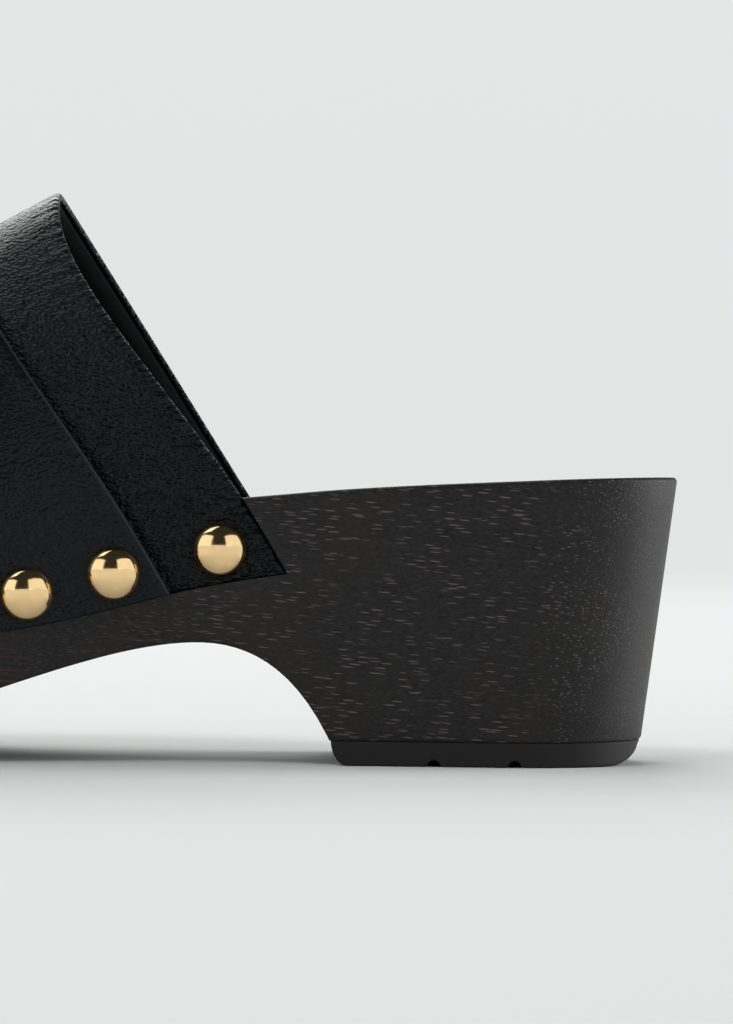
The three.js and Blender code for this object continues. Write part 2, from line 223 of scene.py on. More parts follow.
def share(name, description, default):
    return FloatProperty(
        name=name, description=description, default=default, subtype="FACTOR", min=0, max=1
    )


def power(name, description, default):
    return FloatProperty(name=name, description=description, default=default, subtype="POWER")


class ClogLast(bpy.types.PropertyGroup):
    """Sizes of the last, the sole and the leather, as the packed model has them."""

    sole_length: size("Sole length", "From the back of the heel seat to the toe", 252)
    ball_width: size("Ball width", "Width of the sole at the ball", 88)
    waist_width: size("Waist width", "Width of the sole at the waist", 60.5)
    seat_width: size("Seat width", "Width of the heel seat", 62)
    toe_round: size("Toe round", "Length of the rounded toe", 62)
    seat_height: size("Seat height", "Height of the heel seat", 59)
    ball_height: size("Ball height", "Height of the wood at the ball", 36)
    toe_spring: size("Toe spring", "Lift of the toe", 13)
    heel_run: size("Heel run", "Length of the heel's foot", 71)
    heel_lean: size("Heel lean", "How far the heel's back leans in", 7.5)
    heel_taper: size("Heel taper", "Taper of the heel's sides to the floor", 3.6)
    ball_taper: size("Ball taper", "Taper of the sides at the ball", 2.4)
    toe_tuck: size("Toe tuck", "How far the toe tucks in below", 6)
    arch_run: size("Arch run", "Where the arch is highest", 97.3)
    arch_height: size("Arch height", "Height of the arch", 24.4)
    toe_spring_run: size("Toe spring run", "Length of the sprung toe", 54)
    ball_flat: size("Ball flat", "Length of the flat below the ball", 18)
    cup_depth: size("Cup depth", "Hollow of the footbed", 5)
    rim_round: size("Rim round", "Rounding of the wood's rim", 1)
    toplift: size("Top piece", "Thickness of the rubber under the heel", 5)
    tread: size("Tread", "Thickness of the rubber under the ball", 4.5)
    tread_length: size("Tread length", "Length of the rubber under ball and toe", 100)
    tread_inset: size("Tread inset", "From the wood's side to the tread's", 0.5)
    groove_width: size("Groove width", "Width of the half-round grooves", 2.7)
    groove_pitch: size("Groove pitch", "Distance between grooves", 16.3)
    first_groove: size("First groove", "Run of the groove nearest the heel's back", 33.7)
    collar_height: size("Collar height", "Height of the collar's top", 117)
    collar_back: size("Collar back", "Run of the collar's lower end", 79.4)
    collar_bow: size("Collar bow", "Forward bow of the outer collar edge", 5)
    collar_pitch: FloatProperty(
        name="Collar pitch", description="Pitch of the collar's edge",
        default=math.radians(57.8), subtype="ANGLE",
    )
    vamp_setback: size("Vamp setback", "From the collar to the vamp's edge", 23.5)
    toe_box_height: size("Toe box height", "Height of the toe box", 65)
    vamp_dip: share("Vamp dip", "Hollow of the line from instep to toe", 0.35)
    ridge_setback: size("Ridge setback", "From the toe back to the end of the ridge", 25)
    skirt_depth: size("Skirt depth", "Overlap of the leather on the wood", 18)
    upper_wall: size("Upper wall", "Thickness of the upper with its lining", 1.8)
    vamp_wall: size("Vamp wall", "Thickness of the vamp", 1.2)
    skin_inset: size("Skin inset", "From the wood's side to the upper's face", 0.6)
    feather_rise: size("Feather rise", "Rise of the leather's bend over the rim", 2)
    fit: size("Fit", "Gap between curved pieces", 0.3)


class ClogNails(bpy.types.PropertyGroup):
    """Sizes of the dome nails."""

    diameter: size("Diameter", "Width of a nail's head", 10.8)
    height: size("Height", "Height of a nail's head", 3.4)
    rise: size("Rise", "Height of a nail above the leather's edge", 6.1)
    pitch: size("Pitch", "Distance between nails", 16.4)
    band_inset: size("Band inset", "From the collar to the nail on the band", 10)
    vamp_inset: size("Vamp inset", "From the vamp's edge to its first nail", 8)
    press: size("Press", "How far a nail presses the leather in", 0.55)


class ClogFinish(bpy.types.PropertyGroup):
    """Colours and roughness of the clog's materials."""

    wood: colour("Wood", "Stained wood", (0.0122, 0.0114, 0.0116))
    warm: colour("Warm wood", "Patches where the stain is thin", (0.025, 0.0195, 0.0155))
    pores: colour("Pores", "Open pores of the wood", (0.125, 0.098, 0.1))
    grain: colour("Grain", "Reddish lines of the wood", (0.075, 0.036, 0.03))
    wood_rough: share("Wood roughness", "Roughness of the stained wood", 0.52)
    leather: colour("Leather", "Dyed leather", (0.0026, 0.0032, 0.0036))
    leather_rough: share("Leather roughness", "Roughness of the leather", 0.32)
    # The cut edge's colour is partly the edge's own dye and partly a painted sheen, lighter than the
    # leather and laid on the edge's rounded corner too.
    cut: colour("Cut edge", "Dyed edge of the cut leather", (0.024, 0.026, 0.027))
    lining: colour("Lining", "Suede lining", (0.019, 0.021, 0.022))
    rubber: colour("Rubber", "Rubber of the sole", (0.0125, 0.011, 0.011))
    gold: colour("Gold", "Plating of the nails", (1.0, 0.715, 0.37))
    gold_rough: share("Gold roughness", "Roughness of the plating", 0.11)


class ClogStage(bpy.types.PropertyGroup):
    """Camera, floor and lights."""

    lens: FloatProperty(name="Lens", description="Focal length", default=158.2, subtype="DISTANCE_CAMERA")
    camera_side: size("Camera side", "Camera's distance along the shoe", 63.4)
    camera_away: size("Camera distance", "Camera's distance from the middle", 933.5)
    camera_height: size("Camera height", "Camera's height", 51)
    roll: FloatProperty(
        name="Roll", description="Roll of the camera", default=math.radians(0.8), subtype="ANGLE"
    )
    front_power: power("Front power", "Power of each front panel", 5.3)
    top_power: power("Top power", "Power of the panel overhead", 11)
    high_power: power("High power", "Power of the lamp high in front", 6)
    back_power: power("Back power", "Power of the panel high behind", 26)
    side_power: power("Side power", "Power of the panel behind the heel", 10)
    pale: colour("Floor", "Pale floor and wall", (0.78, 0.8, 0.795))


def mix(a, b, part):
    return a + (b - a) * part


def shade(tone, level):
    """A colour made darker or lighter by a factor."""
    return tuple(part * level for part in tone)


def smooth(value, low, high):
    """0 below low, 1 above high and an even bend between them."""
    part = min(max((value - low) / (high - low), 0), 1)
    return part * part * (3 - 2 * part)


def bell(distance, width):
    """1 at no distance, falling softly away over a width."""
    return math.exp(-((distance / width) ** 2))


def smooth_line(places, values):
    """A smooth line through the values of a table, read at a place between its ends."""

    def read(place):
        place = min(max(place, places[0]), places[-1])
        right = min(bisect.bisect_right(places, place), len(places) - 1)
        start, end = places[right - 1], places[right]
        half = (end - start) / 2
        first, last = values[right - 1], values[right]
        before, before_place = (values[right - 2], places[right - 2]) if right > 1 else (last, end)
        ending = right == len(places) - 1
        after, after_place = (first, start) if ending else (values[right + 1], places[right + 1])
        into, out_of = half / (start - before_place), half / (after_place - end)
        p = (place - start) / (end - start)
        return (
            before * (-into * p**3 + 2 * into * p**2 - into * p)
            + first * ((1 + into) * p**3 + (-1.5 - 2 * into) * p**2 + (into - 0.5) * p + 1)
            + last * ((-1 - out_of) * p**3 + (1.5 + out_of) * p**2 + 0.5 * p)
            + after * (out_of * p**3 - out_of * p**2)
        )

    return read


def round_end(distance, length, squareness):
    """Share of the full half width that is left near a round end."""
    if distance >= length:
        return 1
    short = 1 - max(distance, 0) / length
    return (1 - short**squareness) ** (1 / squareness)


def plain(settings):
    """The sidebar's values as plain numbers, which are quick to read."""
    return SimpleNamespace(**{name: getattr(settings, name) for name in settings.__annotations__})


class Last:
    """The last: outlines of the wood and the outer face of the leather, in the packed frame."""

    def __init__(self, settings):
        self.s = s = plain(settings)
        at = [row[0] for row in OUTLINE]
        self.centre_line = smooth_line(at, [row[1] * s.ball_width for row in OUTLINE])
        self.full_half = smooth_line(at, [row[2] * getattr(s, row[3]) for row in OUTLINE])
        rim_at = [row[0] for row in RIM]
        self.drop, self.spring, self.skirt, self.cup = (
            smooth_line(rim_at, [row[column] for row in RIM]) for column in range(1, 5)
        )
        self.ball_flat_end = s.sole_length - s.toe_spring_run
        self.ball_flat_start = self.ball_flat_end - s.ball_flat
        self.collar_top = s.collar_back + (s.collar_height - self.leather_edge(s.collar_back)) / math.tan(
            s.collar_pitch
        )
        self.ridge_front = s.sole_length - s.ridge_setback
        self.square = math.sin(s.collar_pitch)
        self.under_profile = self.trace_underside()
        self.skin = functools.lru_cache(maxsize=None)(self.skin_point)

    def centre(self, run):
        return self.centre_line(run / self.s.sole_length)

    def half_width(self, run):
        s = self.s
        heel = round_end(run, s.seat_width / 2, 2)
        toe = round_end(s.sole_length - run, s.toe_round, TOE_SQUARENESS)
        return self.full_half(run / s.sole_length) * heel * toe

    def rim_height(self, run):
        s = self.s
        place = run / s.sole_length
        over_ball = (s.seat_height - s.ball_height) * self.drop(place)
        return s.ball_height + over_ball + s.toe_spring * self.spring(place)

    def leather_edge(self, run):
        return self.rim_height(run) - self.s.skirt_depth * self.skirt(run / self.s.sole_length)

    def side_point(self, run, height, side):
        """A point on the wood's side, which tapers and leans to the floor and tucks in at the toe."""
        s = self.s
        depth = 1 - height / self.rim_height(run)
        place = run / s.sole_length
        taper = mix(s.heel_taper, s.ball_taper, smooth(place, 0.3, 0.6)) / (s.ball_width / 2)
        lean = s.heel_lean * depth * (1 - place) ** 4 - s.toe_tuck * depth * place**6
        y = self.centre(run) + side * self.half_width(run) * (1 - taper * depth)
        return LOAD_PLACE + Vector((-run - lean, y, height))

    def trace_underside(self):
        """Points of the wood's underside in side view, as run and height: up from the heel's breast to
        the arch, down to the ball, and up under the toe. Each curve is drawn from four points."""
        s = self.s
        flat = s.tread
        start, end = self.ball_flat_start, self.ball_flat_end
        curves = (
            (
                (s.heel_run, s.toplift),
                (mix(s.heel_run, s.arch_run, 0.237), mix(s.toplift, s.arch_height, 0.644)),
                (mix(s.heel_run, s.arch_run, 0.553), s.arch_height),
                (s.arch_run, s.arch_height),
            ),
            (
                (s.arch_run, s.arch_height),
                (mix(s.arch_run, start, 0.287), s.arch_height),
                (mix(s.arch_run, start, 0.686), flat),
                (start, flat),
            ),
            (
                (end, flat),
                (mix(end, s.sole_length, 0.35), flat),
                (mix(end, s.sole_length, 0.72), flat + 0.4 * s.toe_spring),
                (mix(end, s.sole_length, 1.03), flat + s.toe_spring),
            ),
        )
        points = [(-s.sole_length, s.toplift)]
        for curve in curves:
            points += [bezier(curve, i / CURVE_STEPS) for i in range(CURVE_STEPS + 1)]
        return points

    def underside(self, run):
        runs = [point[0] for point in self.under_profile]
        after = min(max(bisect.bisect_left(runs, run), 1), len(runs) - 1)
        (low_run, low), (high_run, high) = self.under_profile[after - 1], self.under_profile[after]
        return mix(low, high, (run - low_run) / max(high_run - low_run, 1e-9))

    def level(self, run, profile):
        """Height of a profile in side view where the leaning side of a run meets it."""
        height = profile(run)
        for _ in range(ROUNDS):
            height = profile(LOAD_PLACE.x - self.side_point(run, height, -1).x)
        return height

    def underside_of(self, run):
        return self.level(run, self.underside)

    def run_on_side(self, place, height):
        """The run whose leaning side is at a place and height, within the sole."""
        run = place
        for _ in range(ROUNDS):
            run += place - (LOAD_PLACE.x - self.side_point(run, height, -1).x)
            run = min(max(run, 0), self.s.sole_length)
        return run

    def inset_point(self, run, height, inset, side):
        """A point of the wood's side at a height, moved inwards in plan."""
        length = self.s.sole_length
        point = self.side_point(run, height, side)
        if run in (0, length):
            return point + Vector((-inset if run == 0 else inset, 0, 0))
        angle = math.acos(1 - 2 * run / length)
        near = [length * (1 - math.cos(angle + step)) / 2 for step in (-1e-3, 1e-3)]
        before, after = (self.side_point(min(max(place, 0), length), height, side) for place in near)
        along = after - before
        return point + Vector((-along.y, along.x, 0)).normalized() * side * inset

    def crest_height(self, run):
        s = self.s
        part = (run - self.collar_top) / (self.ridge_front - self.collar_top)
        fall = part + s.vamp_dip * part**2 * (1 - part)
        return s.collar_height - (s.collar_height - s.toe_box_height) * fall

    @functools.lru_cache(maxsize=None)
    def ray(self, turn):
        s = self.s
        part = math.sin(turn * math.pi / 2)
        foot = s.collar_back + (s.sole_length - s.collar_back) * part
        fan = s.ridge_setback * part**3
        ridge = mix(self.collar_top, self.ridge_front, part + RIDGE_LEAD * part * (1 - part))
        shear = ridge - (foot - fan)
        return SimpleNamespace(
            part=part, foot=foot, fan=fan, ridge=ridge, shear=shear, low=self.leather_edge(foot),
            feather=self.rim_height(foot + 0.25 * shear) + s.feather_rise, crest=self.crest_height(ridge),
            slope=(self.crest_height(ridge) - self.crest_height(ridge + MM)) / MM,
            spine=self.centre(ridge) + RIDGE_SHIFT * s.ball_width,
        )

    def bow(self, part, side):
        """How far the outer collar edge bows forward of a straight line, most at three quarters up."""
        most = self.s.collar_bow if side < 0 else 0
        return most * part**3 * (1 - part) / (0.75**3 * 0.25)

    def skin_point(self, turn, climb):
        """The leather's outer face. "turn" goes from the collar (0) to the toe (1), and "climb" from the
        outer lower edge (0) over the crest (1) to the inner lower edge (2)."""
        side = -1
        if climb > 1:
            climb, side = 2 - climb, -side
        if turn > 1:
            turn, side = 2 - turn, -side
        at = self.ray(turn)
        angle = max(climb - SKIRT_CLIMB, 0) / (1 - SKIRT_CLIMB) * math.pi / 2
        spread = max(math.cos(angle), 0) ** mix(1, TOE_BOX_SPREAD, at.part)
        rise = math.sin(angle)
        height = mix(at.feather, at.crest, rise)
        if climb < SKIRT_CLIMB:
            height = mix(at.low, at.feather, climb / SKIRT_CLIMB)
        height -= at.slope * at.fan * spread * rise**2
        part = (height - at.low) / (at.crest - at.low)
        reach = at.foot + at.shear * part + self.bow(part, side) * (1 - at.part) ** 2
        edge = self.side_point(reach, min(height, at.feather), side)
        x = edge.x + at.fan * (1 - spread)
        return Vector((x, mix(LOAD_PLACE.y + at.spine, edge.y, spread), height))

    @functools.lru_cache(maxsize=None)
    def skin_normal(self, turn, climb):
        step = 1e-3
        along = self.skin(turn + step, climb) - self.skin(turn - step, climb)
        up = self.skin(turn, climb + step) - self.skin(turn, climb - step)
        return up.cross(along).normalized()

    def off_skin(self, turn, climb, offset):
        return self.skin(turn, climb) + self.skin_normal(turn, climb) * offset

    def turn_at(self, run):
        s = self.s
        return math.asin((run - s.collar_back) / (s.sole_length - s.collar_back)) / (math.pi / 2)

    def turn_from(self, edge, away):
        """The turn at a distance square to a back edge of the leather, which is given by its run."""
        return self.turn_at(edge + away / self.square)

    def away_from(self, edge, turn):
        """The distance of a turn square to a back edge, which is given by its run."""
        return (self.ray(turn).foot - edge) * self.square

    @property
    def vamp_edge(self):
        return self.s.collar_back + self.s.vamp_setback

    @property
    def upper_face(self):
        return -self.s.skin_inset

    @property
    def vamp_face(self):
        return self.upper_face + self.s.fit + self.s.vamp_wall


def bezier(curve, part):
    weights = ((1 - part) ** 3, 3 * part * (1 - part) ** 2, 3 * part**2 * (1 - part), part**3)
    return tuple(sum(weight * point[axis] for weight, point in zip(weights, curve)) for axis in (0, 1))


def edge_steps(radius, steps):
    """Distance in from a rounded edge and share of the full thickness there, from the edge inwards."""
    angles = [math.pi / 2 * i / steps for i in range(steps)]
    return [(radius * (1 - math.cos(angle)), math.sin(angle)) for angle in angles]


def even(start, end, steps):
    """Even values from start up to, but without, the end."""
    return [mix(start, end, i / steps) for i in range(steps)]


def close_ends(start, end, steps):
    """Values from start to end that stand closer together towards both."""
    return [mix(start, end, (1 - math.cos(math.pi * i / steps)) / 2) for i in range(steps + 1)]


def to_the_toe(first, steps):
    """Columns of full thickness in even turns after the first, as far as the toe."""
    return [(mix(first, 1, i / steps), 1) for i in range(1, steps + 1)]


def lay_sheet(columns, rows, place):
    """A sheet of faces. The corner in each column and row goes where place says, and knows both."""
    sheet = bmesh.new()
    in_column = sheet.verts.layers.int.new("column")
    in_row = sheet.verts.layers.int.new("row")
    bmesh.ops.create_grid(sheet, x_segments=columns, y_segments=rows, size=0.5)
    for corner in sheet.verts:
        column = round((corner.co.x + 0.5) * columns)
        row = round((corner.co.y + 0.5) * rows)
        corner[in_column], corner[in_row] = column, row
        corner.co = place(column, row)
    return sheet


def close_sheet(sheet):
    """Joins the seams and poles of a sheet that meets itself, and points its faces outwards."""
    bmesh.ops.remove_doubles(sheet, verts=sheet.verts, dist=1e-6)
    bmesh.ops.dissolve_degenerate(sheet, edges=sheet.edges, dist=1e-7)
    bmesh.ops.recalc_face_normals(sheet, faces=sheet.faces)
    if sheet.calc_volume(signed=True) < 0:
        bmesh.ops.reverse_faces(sheet, faces=sheet.faces)


def turned(profile, steps):
    """A shape turned once round the Z axis from a profile of distances and heights."""
    shape = bmesh.new()
    corners = [shape.verts.new((away, 0, height)) for away, height in profile]
    edges = [shape.edges.new(pair) for pair in zip(corners, corners[1:])]
    bmesh.ops.spin(
        shape, geom=corners + edges, cent=(0, 0, 0), axis=(0, 0, 1), angle=2 * math.pi, steps=steps,
        use_merge=True,
    )
    bmesh.ops.remove_doubles(shape, verts=shape.verts, dist=1e-6)
    bmesh.ops.recalc_face_normals(shape, faces=shape.faces)
    return shape


def make_mesh(name, shape):
    """Turns a shape into a mesh and lets go of the shape."""
    mesh = bpy.data.meshes.new(name)
    shape.to_mesh(mesh)
    shape.free()
    return mesh


def add_object(name, data):
    """Puts new data into the scene as an object."""
    made = bpy.data.objects.new(name, data)
    bpy.context.scene.collection.objects.link(made)
    return made


def make_piece(name, shape, materials, replaced, sharp=SHARP_ANGLE):
    """Turns a shape into a piece of the clog that stands for its packed nodes."""
    for face in shape.faces:
        face.smooth = True
    for layer in ("column", "row"):
        if layer in shape.verts.layers.int:
            shape.verts.layers.int.remove(shape.verts.layers.int[layer])
    mesh = make_mesh(name, shape)
    mesh.set_sharp_from_angle(angle=math.radians(sharp))
    piece = add_object(name, mesh)
    for material in materials:
        mesh.materials.append(material)
    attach(piece, "root")
    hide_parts(*replaced)
    return piece


def section(last, run, bottom, top, inset, low_round, high_round, dish):
    """One loop round a slab with the last's outline: under it, up the outer side, over it and down."""
    most = MOST_ROUND * (top - bottom)
    low_round, high_round = min(low_round, most), min(high_round, most)
    outer = side_rows(last, run, bottom, top, inset, low_round, high_round, -1)
    inner = side_rows(last, run, bottom, top, inset, low_round, high_round, 1)
    under = [inner[0].lerp(outer[0], part) for part in even(0, 1, UNDER_STEPS)]
    over = [outer[-1].lerp(inner[-1], part) for part in even(0, 1, OVER_STEPS)]
    for i, point in enumerate(over):
        point.z -= dish * (1 - abs(2 * i / OVER_STEPS - 1) ** FOOTBED_FLATNESS)
    return under + outer[:-1] + over + inner[::-1]


def side_rows(last, run, bottom, top, inset, low_round, high_round, side):
    """Points up one side of a slab, round its lower and upper corners."""
    angles = [math.pi / 2 * i / CORNER_STEPS for i in range(CORNER_STEPS + 1)]
    corner = [(1 - math.sin(angle), 1 - math.cos(angle)) for angle in angles]
    rows = [(bottom + low_round * up, low_round * away) for up, away in corner[::-1]]
    for i in range(1, SIDE_STEPS):
        rows.append((mix(bottom + low_round, top - high_round, i / SIDE_STEPS), 0))
    rows += [(top - high_round * down, high_round * away) for down, away in corner]
    return [last.inset_point(run, height, inset + away, side) for height, away in rows]


def slab(last, runs, bottom, top, inset, low_round, high_round, dish):
    """A closed slab with the last's outline between two heights."""
    loops = [
        section(last, run, bottom(run), top(run), inset, low_round, high_round, dish(run)) for run in runs
    ]
    shape = lay_sheet(len(loops) - 1, len(loops[0]) - 1, lambda column, row: loops[column][row])
    close_sheet(shape)
    return shape


def leather_wall(last, columns, climbs, inner, outer, corner, relief):
    """A closed leather wall. Each column is a turn and the share of the wall's thickness there; each
    row goes round the wall from the outer lower edge over the outer face and back over the inner one."""
    rows = wall_rows(climbs, corner)
    middle, half = (inner + outer) / 2, (outer - inner) / 2

    def place(column, row):
        turn, thickness = columns[column]
        climb, up, through = rows[row]
        at = last.ray(turn)
        climb += up * SKIRT_CLIMB / (at.feather - at.low)
        lift = relief(turn, climb, through)
        return last.off_skin(turn, climb, middle + through * thickness * half + lift)

    shape = lay_sheet(len(columns) - 1, len(rows) - 1, place)
    mark_leather(last, shape, columns, rows)
    return shape


def wall_rows(climbs, corner):
    """Rows round a wall: the climb, a distance up from the lower edge, and the place through the wall."""
    rows = [(0, up, through) for up, through in corner]
    rows += [(climb, 0, 1) for climb in climbs]
    rows += [(2, -up, through) for up, through in corner[::-1]]
    rows += [(2, -up, -through) for up, through in corner[1:]]
    rows += [(climb, 0, -1) for climb in climbs[::-1]]
    rows += [(0, up, -through) for up, through in corner[::-1]]
    return rows


def mark_leather(last, shape, columns, rows):
    """Notes on each corner how far it lies from the wall's back edge and along that edge."""
    marks = shape.verts.layers.float_vector.new(LEATHER_MAP)
    in_column = shape.verts.layers.int["column"]
    in_row = shape.verts.layers.int["row"]
    first = columns[0][0]
    lengths = [0]
    for (climb, *_), (following, *_) in zip(rows, rows[1:]):
        step = (last.skin(first, following) - last.skin(first, climb)).length
        lengths.append(lengths[-1] + (step if following > climb else -step))
    for corner in shape.verts:
        turn, climb = columns[corner[in_column]][0], rows[corner[in_row]][0]
        away = (last.skin(turn, climb) - last.skin(first, climb)).length
        corner[marks] = Vector((lengths[corner[in_row]], away, 0))


class Creases:
    """Soft troughs and ridges of the leather, each a line between two spots of its face."""

    def __init__(self, last, nails):
        self.last = last
        self.nails = [last.skin(turn, climb) for turn, climb in nails]
        self.press = bpy.context.scene.clog_nails.press
        self.lines = []

    def add(self, start, end, width, depth):
        first, second = self.last.skin(*start), self.last.skin(*end)
        self.lines.append((first, second, width * MM, depth * MM))

    @functools.lru_cache(maxsize=None)
    def at(self, turn, climb):
        spot = self.last.skin(turn, climb)
        lift = -self.press * sum(bell((spot - nail).length, PRESS_WIDTH) for nail in self.nails)
        for start, end, width, depth in self.lines:
            line = end - start
            part = (spot - start).dot(line) / line.length_squared
            if -0.1 < part < 1.1:
                away = (spot - start - line * part).length
                fade = smooth(part, -0.1, 0.25) * (1 - smooth(part, 0.6, 1.1))
                lift -= depth * bell(away, width) * fade
        return lift


def nail_spots(last, nails):
    """Turn and climb of each nail: one on each end of the band, and an even row round the vamp."""
    s = last.s
    band = last.turn_at(s.collar_back + nails.band_inset)
    first = last.turn_at(last.vamp_edge + nails.vamp_inset)

    def spot(turn):
        at = last.ray(min(turn, 2 - turn))
        climb = SKIRT_CLIMB * nails.rise / (at.feather - at.low)
        return (turn, climb) if turn <= 1 else (2 - turn, 2 - climb)

    turns = [mix(first, 2 - first, i / NAIL_ROW_STEPS) for i in range(NAIL_ROW_STEPS + 1)]
    lengths = [0]
    for before, after in zip(turns, turns[1:]):
        lengths.append(lengths[-1] + (last.skin(*spot(after)) - last.skin(*spot(before))).length)
    gaps = round(lengths[-1] / nails.pitch)
    row = [turns[bisect.bisect_left(lengths, lengths[-1] * i / gaps - 1e-9)] for i in range(gaps + 1)]
    return [spot(turn) for turn in (band, *row, 2 - band)]


class Wire:
    """A shader value that takes part in plain expressions, which add their Math nodes."""

    def __init__(self, finish, socket):
        self.finish = finish
        self.socket = socket

    def math(self, operation, first, second):
        return self.finish.node("ShaderNodeMath", {"operation": operation}, {0: first, 1: second})

    def __add__(self, other):
        return self.math("ADD", self, other)

    def __sub__(self, other):
        return self.math("SUBTRACT", self, other)

    def __rsub__(self, other):
        return self.math("SUBTRACT", other, self)

    def __mul__(self, other):
        return self.math("MULTIPLY", self, other)

    __radd__ = __add__
    __rmul__ = __mul__


class Finish:
    """A material, and the nodes that make it."""

    def __init__(self, name):
        self.material = bpy.data.materials.new(name)
        self.material.use_nodes = True
        self.tree = self.material.node_tree
        self.tree.nodes.clear()

    def node(self, kind, settings, sockets, out=0):
        """Adds a node: its settings first, then the values or links of its sockets."""
        made = self.tree.nodes.new(kind)
        for name, value in settings.items():
            setattr(made, name, value)
        for name, value in sockets.items():
            if isinstance(value, Wire):
                self.tree.links.new(value.socket, made.inputs[name])
            else:
                made.inputs[name].default_value = value
        return None if out is None else Wire(self, made.outputs[out])

    def place(self, scale, turn=(0, 0, 0)):
        """The piece's own coordinates, scaled to steps per metre and turned."""
        where = self.node("ShaderNodeTexCoord", {}, {}, "Object")
        where = self.node("ShaderNodeMapping", {}, {"Vector": where, "Rotation": turn})
        return self.node("ShaderNodeMapping", {}, {"Vector": where, "Scale": scale})

    def cloud(self, vector, scale=1.0, detail=2.0, rough=0.5, bend=0.0):
        sockets = {"Vector": vector, "Scale": scale, "Detail": detail}
        sockets |= {"Roughness": rough, "Distortion": bend}
        return self.node("ShaderNodeTexNoise", {}, sockets)

    def cells(self, vector, feature="F1"):
        """Distance to the nearest of many scattered spots."""
        sockets = {"Vector": vector, "Scale": 1.0}
        return self.node("ShaderNodeTexVoronoi", {"feature": feature}, sockets, "Distance")

    def leather_map(self):
        """Each spot's distance along the leather's back edge, and away from it."""
        return self.node("ShaderNodeAttribute", {"attribute_name": LEATHER_MAP}, {}, "Vector")

    def part_of(self, vector, axis):
        return self.node("ShaderNodeSeparateXYZ", {}, {"Vector": vector}, axis)

    def band(self, value, low, high):
        """0 where a value is at low, 1 where it is at high."""
        sockets = {"Value": value, "From Min": low, "From Max": high}
        return self.node("ShaderNodeMapRange", {"interpolation_type": "SMOOTHSTEP"}, sockets)

    def blend(self, part, first, second):
        """A colour between two, each given as a wire or as red, green and blue."""
        first, second = (
            value if isinstance(value, Wire) else (*value, 1) for value in (first, second)
        )
        return self.node("ShaderNodeMix", {"data_type": "RGBA"}, {0: part, 6: first, 7: second}, 2)

    def relief(self, height, distance):
        """A normal from a height; its distance is in millimetres."""
        sockets = {"Distance": distance * MM, "Height": height}
        return self.node("ShaderNodeBump", {}, sockets)

    def done(self, sockets):
        """Feeds the finished shader to the material."""
        shader = self.node("ShaderNodeBsdfPrincipled", {}, sockets)
        self.node("ShaderNodeOutputMaterial", {}, {"Surface": shader}, None)
        return self.material


def wood_material(colours):
    """Black stain on wood with open pores along X, which show as dashes at the side and dots behind."""
    finish = Finish("stained_wood")
    tilt = (0, math.radians(-4), 0)
    x = finish.part_of(finish.node("ShaderNodeTexCoord", {}, {}, "Object"), "X")
    streaks = finish.cloud(finish.place((18, 160, 420), tilt), detail=3)
    patches = finish.band(finish.cloud(finish.place((110, 90, 90)), detail=2), 0.3, 0.6)
    patches = patches * (finish.band(x, 0.0, 0.06) * 0.75 + 0.25)
    spindles = finish.cells(finish.place((205, 1850, 1850), tilt))
    dashes = (1 - finish.band(spindles, 0.19, 0.3)) * patches
    warmth = finish.band(finish.cloud(finish.place((26, 40, 22)), detail=2), 0.5, 0.8)
    lines = finish.band(finish.cloud(finish.place((8, 110, 1500), tilt), detail=2), 0.58, 0.68)
    lines = lines * (1 - finish.band(x, 0, 0.05))
    fibre = finish.cloud(finish.place((900, 2200, 2200), tilt), detail=3, rough=0.6)
    dark, light = shade(colours.wood, 0.3), shade(colours.wood, 2.1)
    stain = finish.blend(streaks * 0.35 + finish.band(fibre, 0.3, 0.7) * 0.65, dark, light)
    stain = finish.blend(warmth * 0.5, stain, colours.warm)
    stain = finish.blend(lines * 0.6, stain, colours.grain)
    stain = finish.blend(dashes * 0.85, stain, colours.pores)
    height = fibre * 0.5 + streaks * 0.5 - dashes * 0.4
    return finish.done({
        "Base Color": stain,
        "Roughness": fibre * 0.16 + (colours.wood_rough - 0.08),
        "Specular IOR Level": 0.22,
        "Normal": finish.relief(height, 0.13),
    })


def leather_material(name, colours, grain, gather):
    """Dyed leather with a pebbled grain, and fine gathers across its back edge."""
    finish = Finish(name)
    spots = finish.place((1250, 1800, 2000))
    drift = finish.cloud(spots, 0.35, detail=1)
    pebbles = finish.cells(spots, "SMOOTH_F1") + drift * 0.6
    leather_map = finish.leather_map()
    away = finish.part_of(leather_map, "Y")
    along = finish.node("ShaderNodeMapping", {}, {"Vector": leather_map, "Scale": (620, 120, 1)})
    folds = finish.band(finish.cloud(along, 1, detail=1, bend=0.4), 0.3, 0.7)
    near = 1 - finish.band(away, 2 * MM, 11 * MM)
    mottle = finish.cloud(finish.place((60, 60, 60)), detail=3)
    calm = finish.band(away, 0.4 * MM, 2.5 * MM) * 0.8 + 0.2
    height = pebbles * grain * calm + folds * near * gather
    dark, light = shade(colours.leather, 0.8), shade(colours.leather, 1.25)
    return finish.done({
        "Base Color": finish.blend(mottle, dark, light),
        "Roughness": mottle * 0.1 + pebbles * 0.08 + (colours.leather_rough - 0.09),
        "Specular IOR Level": 0.22,
        "Specular Tint": (0.9, 0.96, 1, 1),
        "Normal": finish.relief(height, 0.3),
    })


def plain_material(name, tone, rough, grain_size, depth):
    """A dull even surface with a fine random grain: rubber, suede, or the cut edge of leather."""
    finish = Finish(name)
    steps = 1 / (grain_size * MM)
    speckle = finish.cloud(finish.place((steps, steps, steps)), detail=3)
    dark, light = shade(tone, 0.7), shade(tone, 1.35)
    return finish.done({
        "Base Color": finish.blend(speckle, dark, light),
        "Roughness": speckle * 0.12 + (rough - 0.06),
        "Specular IOR Level": 0.3,
        "Normal": finish.relief(speckle, depth),
    })


